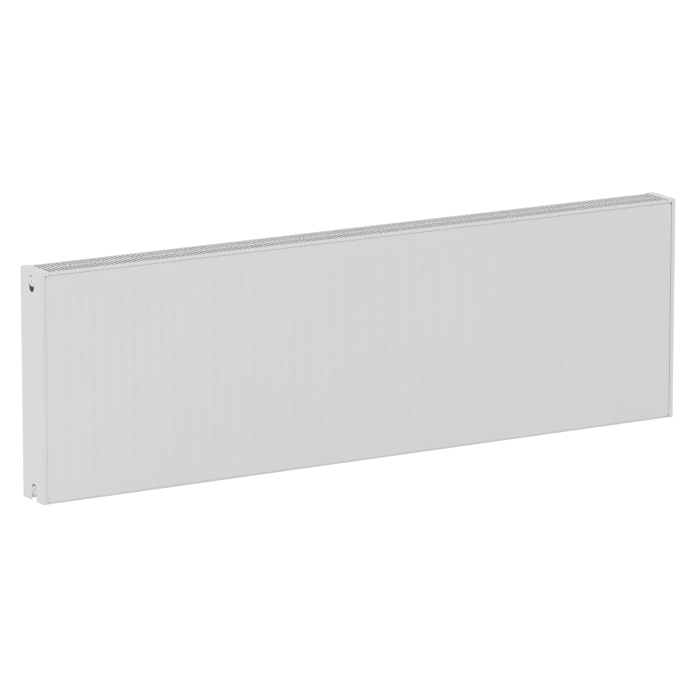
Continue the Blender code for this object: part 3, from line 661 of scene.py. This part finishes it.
def side_cap(name, node, face_x, inwards, material):
    """A folded cap. Its outline runs up the front, over the top and down the back. The bend
    is a quarter circle carried along that outline, and the lips run on straight from it. The
    free edge of the flange is turned down in a narrow hem. Inside the outline the plate is
    stretched in straight shares to the hole and the notch."""
    low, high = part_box(node)
    front, rear, bottom, top = low[1], high[1], low[2], high[2]
    inset = COVER_BEND + SUPPORT
    low_z = np.concatenate([[bottom, bottom + SUPPORT], np.linspace(0.010, FIELD_LOW, 5)])
    field_z = np.linspace(FIELD_LOW, FIELD_HIGH, 10)
    lip_z = [top - TOP_LIP - LIP_FILLET, top - TOP_LIP]
    high_z = np.concatenate([[FIELD_HIGH, 0.456, 0.467, 0.478], lip_z])
    side_z = np.concatenate([low_z, field_z[1:-1], high_z])
    over_y = np.linspace(front + FRONT_CORNER, rear - BACK_CORNER, 13)

    front_arc = arc((front + FRONT_CORNER, top - FRONT_CORNER), FRONT_CORNER, 180, 90, 6)
    back_arc = arc((rear - BACK_CORNER, top - BACK_CORNER), BACK_CORNER, 90, 0, 8)
    outline = np.concatenate([
        np.stack([np.full_like(side_z, front), side_z], -1), front_arc,
        np.stack([over_y[1:-1], np.full(11, top)], -1), back_arc,
        np.stack([np.full_like(side_z, rear), side_z[::-1]], -1)])
    way_in = np.concatenate([
        np.tile([1.0, 0.0], (len(side_z), 1)),
        [front + FRONT_CORNER, top - FRONT_CORNER] - front_arc,
        np.tile([0.0, -1.0], (11, 1)),
        [rear - BACK_CORNER, top - BACK_CORNER] - back_arc,
        np.tile([-1.0, 0.0], (len(side_z), 1))])
    way_in /= np.linalg.norm(way_in, axis=1, keepdims=True)
    framed = outline + inset * way_in

    def on_plate(line):
        return np.insert(line, 0, face_x, axis=-1)

    # Round the hole: one turn up the front, over, down the back and home along the bottom.
    count_low, count_side = len(low_z), len(side_z) - len(high_z)
    crossing = np.stack([np.linspace(rear - inset, front + inset, 9), np.full(9, high_z[0])], -1)
    frame_loop = np.concatenate([framed[count_side:len(framed) - count_side], crossing[1:]])
    lower = (port_y, HOLE_LOW + HOLE_HALF)
    upper = (port_y, HOLE_HIGH - HOLE_HALF)
    hole_loop = evenly(np.concatenate([
        arc(lower, HOLE_HALF, 225, 180, 24), arc(upper, HOLE_HALF, 180, 0, 96),
        arc(lower, HOLE_HALF, 0, -135, 72)]), len(frame_loop))
    shares = [0, 0.025, 0.1, 0.3, 0.6, 1]
    round_hole = between(on_plate(hole_loop), on_plate(frame_loop), shares)

    # Round the notch: up the front, across above it and down the back.
    notch_cross = np.stack([np.linspace(front + inset, rear - inset, 9), np.full(9, low_z[-1])], -1)
    notch_frame = np.concatenate([framed[:count_low], notch_cross[1:-1], framed[-count_low:]])
    notch_line = evenly(np.concatenate([
        [(port_y - HOLE_HALF, bottom)],
        arc((port_y, NOTCH_TOP - HOLE_HALF), HOLE_HALF, 180, 0, 96),
        [(port_y + HOLE_HALF, bottom)]]), len(notch_frame))
    notch_line[[0, -1], 1] = bottom
    round_notch = between(on_plate(notch_line), on_plate(notch_frame), shares)
    field_y, field_up = np.meshgrid(np.linspace(front + inset, rear - inset, 9), field_z)
    field = on_plate(np.stack([field_y, field_up], -1))
    outwards = np.array([-inwards, 0.0, 0.0])
    patches = [facing(grid, outwards) for grid in (round_hole, round_notch, field)]

    # The bend and the lips, row by row away from the plate.
    turn_by = np.radians(np.linspace(0, 90, 7))
    reach = np.concatenate([
        [0], COVER_BEND * (1 - np.cos(turn_by)),
        [COVER_BEND + SUPPORT, COVER_LIP - SUPPORT, COVER_LIP]])
    set_in = np.concatenate([[inset], COVER_BEND * (1 - np.sin(turn_by)), [0, 0, 0]])
    leaning = np.concatenate([[0], turn_by, np.full(3, math.pi / 2)])[:, None, None]

    def folded(reach, set_in, leaning, keep):
        lines = outline[keep] + set_in[:, None, None] * way_in[keep]
        grid = np.insert(lines, 0, (face_x + inwards * reach)[:, None], axis=-1)
        normal = np.concatenate([
            np.cos(leaning) * outwards[0] + 0 * lines[..., :1],
            -np.sin(leaning) * way_in[keep]], -1)
        return facing(grid, normal)

    patches.append(folded(reach, set_in, leaning, slice(None)))
    flange = high[0] - low[0]
    hem_turn = np.radians(np.linspace(0, 90, 5))
    reach = np.concatenate([
        [COVER_LIP, COVER_LIP + LIP_FILLET, flange - HEM_BEND - SUPPORT],
        flange - HEM_BEND * (1 - np.sin(hem_turn)), [flange] * 2])
    set_in = np.concatenate([[0, 0, 0], HEM_BEND * (1 - np.cos(hem_turn)), [HEM - SUPPORT, HEM]])
    leaning = math.pi / 2 + np.concatenate([[0, 0, 0], hem_turn, [math.pi / 2] * 2])[:, None, None]
    upper_part = slice(len(side_z) - 1, len(outline) - len(side_z) + 1)
    patches.append(folded(reach, set_in, leaning, upper_part))

    # The small fillets where the front and back lips widen into the top flange.
    curve = LIP_FILLET * (1 - np.sin(turn_by))
    curve_across = LIP_FILLET * (1 - np.cos(turn_by))
    for y, way in ((front, -1.0), (rear, 1.0)):
        x = face_x + inwards * (COVER_LIP + np.stack([0 * curve, curve_across]))
        z = lip_z[1] - np.stack([0 * curve, curve])
        grid = np.stack([x, np.full_like(x, y), z], -1)
        patches.append(facing(grid, np.array([0.0, way, 0.0])))
    return thick_sheet(name, patches, COVER_SHEET, material)


cover_white = painted("cover_enamel", (0.80, 0.80, 0.80), 0.38, 0.25, 0.15, 0.5, coat=0.15)
for side, face_x, inwards in (("left", cad_low[0], 1.0), ("right", cad_high[0], -1.0)):
    piece = side_cap(f"{side}_end_cap", f"{side}_side_cover", face_x, inwards, cover_white)
    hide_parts(f"{side}_side_cover")
    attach(piece, f"{side}_cover")

# ------------------------------------------------------------------ top grille
# The warm air leaves through a slotted cover of 1 mm sheet with turned-down edges. Two rows
# of punched slots leave a bridge along the middle.
GRILLE_SHEET = 0.001
SLOT_PITCH = 0.010
SLOTS = 155
SLOT_HALF = 0.0027
SLOT_CORNER = 0.0012
SLOT_ROWS = ((0.010, 0.0465), (0.0505, 0.087))    # from the front
GRILLE_FRONT_BEND, GRILLE_BACK_BEND, GRILLE_END_BEND = 0.0018, 0.002, 0.0014
GRILLE_FRONT_LIP, GRILLE_BACK_LIP = 0.0059, 0.014
SEAM_CLEARANCE = 0.0054       # half-width of the notches that pass the seams


def grille_plate(name, node, material):
    """A folded plate. Every slot is a rounded rectangle in its own cell; the edges are a
    quarter circle and a straight lip, carried along the front, the back and the two ends."""
    low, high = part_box(node)
    top, front, rear = high[2], low[1], high[1]
    slot_x = (np.arange(SLOTS) - (SLOTS - 1) / 2) * SLOT_PITCH
    flat_front, flat_back = front + GRILLE_FRONT_BEND, rear - GRILLE_BACK_BEND
    row_edges = [flat_front, front + (SLOT_ROWS[0][1] + SLOT_ROWS[1][0]) / 2, flat_back]
    up = np.array([0.0, 0.0, 1.0])
    patches = []
    inner_x = SLOT_HALF - SLOT_CORNER
    y_lines = [flat_front]
    for (start, end), cell_low, cell_high in zip(SLOT_ROWS, row_edges, row_edges[1:]):
        slot_low, slot_high = front + start, front + end
        y_lines += [slot_low + SLOT_CORNER, slot_high - SLOT_CORNER, cell_high]

        def ring(grow):
            reach = SLOT_CORNER + grow
            corners = [(inner_x, slot_high - SLOT_CORNER, 0), (-inner_x, slot_high - SLOT_CORNER, 90),
                       (-inner_x, slot_low + SLOT_CORNER, 180), (inner_x, slot_low + SLOT_CORNER, 270)]
            return np.concatenate([arc(c[:2], reach, c[2], c[2] + 90, 2) for c in corners])

        half = SLOT_PITCH / 2
        border = np.array([
            (half, slot_high - SLOT_CORNER), (half, cell_high), (inner_x, cell_high),
            (-inner_x, cell_high), (-half, cell_high), (-half, slot_high - SLOT_CORNER),
            (-half, slot_low + SLOT_CORNER), (-half, cell_low), (-inner_x, cell_low),
            (inner_x, cell_low), (half, cell_low), (half, slot_low + SLOT_CORNER)])
        rings = np.stack([border, ring(0.00025), ring(0)])
        cell = np.concatenate([rings, np.full((3, 12, 1), top)], -1)
        points, faces = patch(cell, True)
        cells = points[None] + slot_x[:, None, None] * np.array([1.0, 0, 0])
        faces = faces[None] + (np.arange(SLOTS) * len(points))[:, None, None]
        patches.append((cells.reshape(-1, 3), np.tile(up, (SLOTS * len(points), 1)),
                        faces.reshape(-1, 4)))

    def bent(radius, lip, drop_edge):
        """Distances beyond the start of a bend, drops below the top, and leans of the skin."""
        lean = np.radians(np.linspace(0, 90, 8))
        out = np.concatenate([radius * np.sin(lean), [radius] * 3])
        down = np.concatenate([
            radius * (1 - np.cos(lean)), [radius + SUPPORT, lip - drop_edge, lip]])
        return out, down, np.concatenate([lean, [math.pi / 2] * 3])

    end_x = high[0] - GRILLE_END_BEND
    half = SLOT_PITCH / 2
    x_lines = np.unique(np.round(np.concatenate([
        slot_x - half, slot_x - inner_x, slot_x + inner_x, slot_x + half,
        [-end_x, end_x, -end_x + SUPPORT, end_x - SUPPORT]]), 7))
    for edge, way, radius, lip in ((flat_front, -1, GRILLE_FRONT_BEND, GRILLE_FRONT_LIP),
                                   (flat_back, 1, GRILLE_BACK_BEND, GRILLE_BACK_LIP)):
        to_ends = np.concatenate([[low[0]], x_lines, [high[0]]])
        out, down, lean = (part[:, None] + 0 * to_ends for part in bent(radius, lip, SUPPORT))
        grid = np.stack([to_ends + 0 * out, edge + way * out, top - down], -1)
        normal = np.stack([0 * lean, way * np.sin(lean), np.cos(lean)], -1)
        patches.append(facing(grid, normal))

    # Beyond the last slots the plate runs flat to the bend at each end. The turned-down
    # ends stop short of the front and back folds and are cut away round both seams.
    relief = 0.0003
    seams = [(box_low[1] + box_high[1]) / 2 for box_low, box_high in (
        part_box("grille_clip_front_left"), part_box("grille_clip_rear_left"))]
    cuts = sorted([seam + side * SEAM_CLEARANCE for seam in seams for side in (-1, 1)])
    y_all = np.unique(np.round(np.array(
        y_lines + cuts + [flat_front + relief, flat_back - relief]), 7))
    out, down, lean = bent(GRILLE_END_BEND, GRILLE_FRONT_LIP, SUPPORT)
    for way in (-1, 1):
        x = way * np.concatenate([[slot_x[-1] + half], [end_x - SUPPORT]])
        grid = np.stack(np.broadcast_arrays(x[:, None], y_all, top), -1)
        patches.append(facing(grid, up))
        x = way * np.array([end_x - SUPPORT, end_x])
        grid = np.stack(np.broadcast_arrays(x[:, None], y_all, top), -1)
        patches.append(facing(grid, up))
        grid = np.stack(np.broadcast_arrays(
            way * (end_x + out)[:, None], y_all, (top - down)[:, None]), -1)
        normal = np.stack(np.broadcast_arrays(
            way * np.sin(lean)[:, None], 0 * y_all, np.cos(lean)[:, None]), -1)
        points, normals, faces = facing(grid, normal)
        middle = points[faces].mean(axis=1)
        inside = (middle[:, 1] > flat_front + relief) & (middle[:, 1] < flat_back - relief)
        clear = np.minimum.reduce([abs(middle[:, 1] - seam) for seam in seams]) > SEAM_CLEARANCE
        shallow = middle[:, 2] > top - GRILLE_END_BEND
        patches.append((points, normals, faces[inside & (clear | shallow)]))
    return thick_sheet(name, patches, GRILLE_SHEET, material)


grille_white = painted("grille_enamel", (0.80, 0.80, 0.80), 0.38, 0.25, 0.25, 0.6, coat=0.15)
grille = grille_plate("slotted_top_plate", "top_grille", grille_white)
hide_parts("top_grille")
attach(grille, "grille")

# ---------------------------------------------------------------- spring clips
# Hairpins of zinc-plated spring strip under the grille and inside the caps. Each one grips
# the edge of a panel's seam, and its mouth flares to find it.
CLIP_STRIP = 0.0006


def finish(name, metallic, gloss_loss, tones, tone_noise, tone_span, gloss_noise, gloss_span,
           grain, strength, depth=0.00002):
    """A finish whose colour wanders between two tones, whose gloss is uneven and whose normal
    carries a fine grain. The noises are given as scale, detail and roughness."""
    group, given, made = new_group(
        name + "_finish", [("Gloss Loss", "NodeSocketFloat", gloss_loss)],
        [("Colour", "NodeSocketColor"), ("Roughness", "NodeSocketFloat"),
         ("Normal", "NodeSocketVector")])
    place = group.nodes.new("ShaderNodeTexCoord").outputs["Object"]
    share = spread(group, noise(group, place, *tone_noise), *tone_span, 0.0, 1.0)
    group.links.new(blended(group, share, *tones), made.inputs["Colour"])
    uneven = spread(group, noise(group, place, *gloss_noise), 0.3, 0.7, *gloss_span)
    group.links.new(
        combined(group, "ADD", uneven, given.outputs["Gloss Loss"]), made.inputs["Roughness"])
    bump = group.nodes.new("ShaderNodeBump")
    bump.inputs["Distance"].default_value = depth
    bump.inputs["Strength"].default_value = strength
    group.links.new(grain(group, place), bump.inputs["Height"])
    group.links.new(bump.outputs["Normal"], made.inputs["Normal"])
    material, shader = new_material(name, group, {"Gloss Loss": gloss_loss})
    shader.inputs["Metallic"].default_value = metallic
    return material


def hairpin(name, node, along, mouth, material):
    """A strip folded over a seam: two legs pinched a little, a round back and flared tips.
    Across the seam it follows Y; along says which axis the strip's width follows."""
    low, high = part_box(node)
    depth = high[mouth] - low[mouth]
    towards = 1 if mouth == 0 and low[0] < 0 else -1
    back = low[mouth] if towards > 0 else high[mouth]
    half = (high[1] - low[1]) / 2
    middle = (low[1] + high[1]) / 2
    corners = np.array([
        (half, depth), (half - 0.0004, depth * 0.7), (half, 0), (-half, 0),
        (-half + 0.0004, depth * 0.7), (-half, depth)])
    path = rounded_path(corners, 0.0011, 7)
    inner = offset_path(path, CLIP_STRIP)
    order = (2, 0, 1) if along == 0 else (1, 0, 2)
    width = np.linspace(low[along], high[along], 5)
    grids = []
    for line in (path, inner):
        placed = np.stack([middle + line[:, 0], back + towards * line[:, 1]], -1)
        grids.append(drawn(placed, width, order))
    return make_piece(name, slab(*grids), material)


spring_zinc = finish(
    "spring_zinc", 1.0, 0.3, ((0.62, 0.63, 0.66, 1), (0.76, 0.77, 0.78, 1)), (240, 4, 0.6),
    (0.35, 0.65), (900, 3), (-0.08, 0.12), lambda group, place: noise(group, place, 1500, 2), 0.3)
for row in ("front", "rear"):
    for side in ("left", "right"):
        under = hairpin(
            f"grille_spring_{row}_{side}", f"grille_clip_{row}_{side}", 0, 2, spring_zinc)
        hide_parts(f"grille_clip_{row}_{side}")
        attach(under, "grille")
        within = hairpin(
            f"cap_spring_{row}_{side}", f"cover_clip_{row}_{side}", 2, 0, spring_zinc)
        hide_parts(f"cover_clip_{row}_{side}")
        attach(within, f"{side}_cover")

# ----------------------------------------------------------- air vent, upper left
# A nickel-plated brass plug with a thin flange carries a white nylon disc, which turns to
# point the outlet in its rim, and a small square-headed bleed screw in its middle.
FLANGE_BACK = -0.0061
VENT_BORE = 0.0028


def turning_marks(group, place):
    """Fine rings left by the lathe, evenly spaced along X."""
    marks = group.nodes.new("ShaderNodeTexWave")
    marks.wave_type = "BANDS"
    marks.bands_direction = "X"
    marks.inputs["Scale"].default_value = 1600
    marks.inputs["Distortion"].default_value = 1.5
    group.links.new(place, marks.inputs["Vector"])
    return marks.outputs["Fac"]


def plug_thread(radius, reach, angle):
    """The outside thread, in step with the socket's, so that crest meets root."""
    outer = radius > 0.0085
    return np.where(outer, thread(reach, angle, -0.0082, -0.0168), 0)


def hexagon(apothem, steps_angle):
    """The distance from the middle to the side of a hexagon, by angle."""
    sixth = math.pi / 3
    return apothem / np.cos((steps_angle + sixth / 2) % sixth - sixth / 2)


vent_level = port_level("vent_plug_body")
nickel = finish(
    "nickel_plate", 1.0, 0.22, ((0.72, 0.70, 0.66, 1), (0.82, 0.81, 0.78, 1)), (120, 4, 0.6),
    (0.35, 0.65), (700, 4), (-0.06, 0.10), turning_marks, 0.25, 0.00001)
vent_outline = closely(np.array([
    (VENT_BORE, -0.0021), (VENT_BORE + 0.0004, -0.0016), (0.0046, -0.0016), (0.0050, -0.0020),
    (0.0050, -0.0032), (0.0115, -0.0032), (0.0120, -0.0037), (0.0120, -0.0056),
    (0.0115, FLANGE_BACK), (0.0090, FLANGE_BACK), (0.0090, -0.0172), (0.0084, -0.0180),
    (VENT_BORE, -0.0180), (VENT_BORE, -0.0021)]), THREAD_PITCH / 6)
vent_body = make_piece("vent_plug", [turned(vent_outline, vent_level, plug_thread, 60)], nickel)
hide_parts("vent_plug_body")
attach(vent_body, "radiator")


nylon = finish(
    "nozzle_nylon", 0.0, 0.42, ((0.84, 0.84, 0.82, 1), (0.88, 0.88, 0.87, 1)), (90, 3),
    (0.3, 0.7), (500, 3), (-0.05, 0.08), lambda group, place: noise(group, place, 2200, 2), 0.3)


def grip(radius, reach, angle):
    """Shallow finger ribs round the rim: a cosine of 30 waves on the outer wall only."""
    return np.where(radius > 0.0115, -0.0001 * (1 + np.cos(30 * angle)), 0)


disc_outline = np.array([
    (0.0053, -0.0027), (0.0053, -0.0013), (0.0034, -0.0013), (0.0034, -0.0005),
    (0.0037, -0.0002), (0.0101, -0.0002), (0.0104, -0.0003), (0.0105, -0.0006),
    (0.0105, -0.0016), (0.0117, -0.0016), (0.0119, -0.0018), (0.0119, -0.0027),
    (0.0117, -0.0029), (0.0055, -0.0029), (0.0053, -0.0027)])
nozzle = make_piece("vent_nozzle_disc", [turned(disc_outline, vent_level, grip, 120)], nylon)
outlet_angle = np.arange(24)[None, :] * 2 * np.pi / 24
outlet_radius = np.array([0, 0.0012, 0.0012, 0])[:, None]
outlet_drop = np.array([0.004, 0.004, 0.013, 0.013])[:, None]
outlet = make_piece("outlet", [patch(np.stack([
    cover_face + 0.0029 + outlet_radius * np.cos(outlet_angle),
    port_y + outlet_radius * np.sin(outlet_angle),
    vent_level - outlet_drop + 0 * outlet_angle], -1), True)], nylon)
shaped_by(nozzle, outlet, "DIFFERENCE")
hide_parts("vent_nozzle")
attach(nozzle, "nozzle")

HEAD_HALF = 0.0021
HEAD_CORNER = 0.0028


def square_head(radius, reach, angle):
    """The head's rows follow a square with its corners cut by a circle; the shank stays round."""
    square = HEAD_HALF / np.maximum(abs(np.cos(angle)), abs(np.sin(angle)))
    square = np.minimum(square, HEAD_CORNER)
    on_head = reach > -0.00140
    return np.where(on_head & (radius > 0.001), square * radius / HEAD_HALF - radius, 0)


screw_outline = np.array([
    (0, -0.0005), (0.0019, -0.0005), (0.0021, -0.0007), (0.0021, -0.00135), (0.0019, -0.00141),
    (0.0025, -0.0016), (0.0025, -0.0120), (0.0012, -0.0145), (0, -0.0145)])
screw = make_piece("bleed_screw_needle", [turned(
    closely(screw_outline, 0.0006), vent_level, square_head, 64)], nickel, 30)
DRIVE_HALF_WIDTH, DRIVE_HALF_LENGTH = 0.0004, 0.004
corners = np.array([(-1, -1), (1, -1), (1, 1), (-1, 1)]) * (DRIVE_HALF_WIDTH, DRIVE_HALF_LENGTH)
slot_grid = np.array([
    [(cover_face + behind, port_y + size * y, vent_level + size * z) for y, z in corners]
    for behind, size in ((0.0004, 0), (0.0002, 1), (0.0010, 1), (0.0010, 0))])
slot_cut = make_piece("screw_slot", [patch(slot_grid, True)], nickel)
shaped_by(screw, slot_cut, "DIFFERENCE")
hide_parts("bleed_screw")
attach(screw, "bleed_needle")


def sealing_ring(name, node, material):
    """A moulded ring: a round section carried round the port's axis."""
    low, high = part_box(node)
    radius = (high[1] - low[1]) / 2
    thick = high[0] - low[0]
    reach = cover_face - (low[0] + high[0]) / 2
    section = arc((radius - thick * 0.5, reach), thick / 2, 0, 360, 16)
    squeezed = section - np.array([0.0003, 0]) * (section[:, :1] < radius - thick * 0.5)
    return make_piece(name, [turned(squeezed, port_level(node), None, 72)], material)


rubber = finish(
    "seal_rubber", 0.0, 0.6, ((0.02, 0.02, 0.021, 1), (0.06, 0.06, 0.058, 1)), (300, 4, 0.6),
    (0.4, 0.7), (800, 3), (-0.06, 0.1), lambda group, place: noise(group, place, 1800, 2), 0.4)
vent_seal = sealing_ring("vent_sealing_ring", "vent_plug_seal", rubber)
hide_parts("vent_plug_seal")
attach(vent_seal, "radiator")

# ------------------------------------------------------- blanking plug, lower left
# The lower port is closed with a white enamelled plug, tightened by a hexagon key.
blank_level = port_level("blanking_plug")
KEY_APOTHEM = 0.0030


def keyed(radius, reach, angle):
    """Rows of the recess follow a hexagon; rows of the outside carry the thread."""
    in_recess = (radius < 0.0035) & (reach > -0.0050)
    hexed = hexagon(KEY_APOTHEM, angle) * radius / KEY_APOTHEM - radius
    return np.where(in_recess, hexed, 0) + plug_thread(radius, reach, angle)


blank_outline = closely(np.array([
    (0, -0.0036), (KEY_APOTHEM, -0.0033), (KEY_APOTHEM, -0.0007), (0.0034, -0.0004),
    (0.0042, -0.0003), (0.0097, -0.0003), (0.0101, -0.0005), (0.0102, -0.0009),
    (0.0102, -0.0032), (0.0105, -0.0032), (0.0111, -0.0038), (0.0111, -0.0056),
    (0.0107, FLANGE_BACK), (0.0090, FLANGE_BACK), (0.0090, -0.0172), (0.0084, -0.0180),
    (0, -0.0180)]), THREAD_PITCH / 6)
plug_white = painted("plug_enamel", (0.78, 0.78, 0.77), 0.36, 0.2, 0.15, 0.3)
blank = make_piece("blanking_plug_hex", [turned(blank_outline, blank_level, keyed, 72)], plug_white)
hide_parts("blanking_plug")
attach(blank, "radiator")
blank_seal = sealing_ring("blanking_sealing_ring", "blanking_plug_seal", rubber)
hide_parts("blanking_plug_seal")
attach(blank_seal, "radiator")
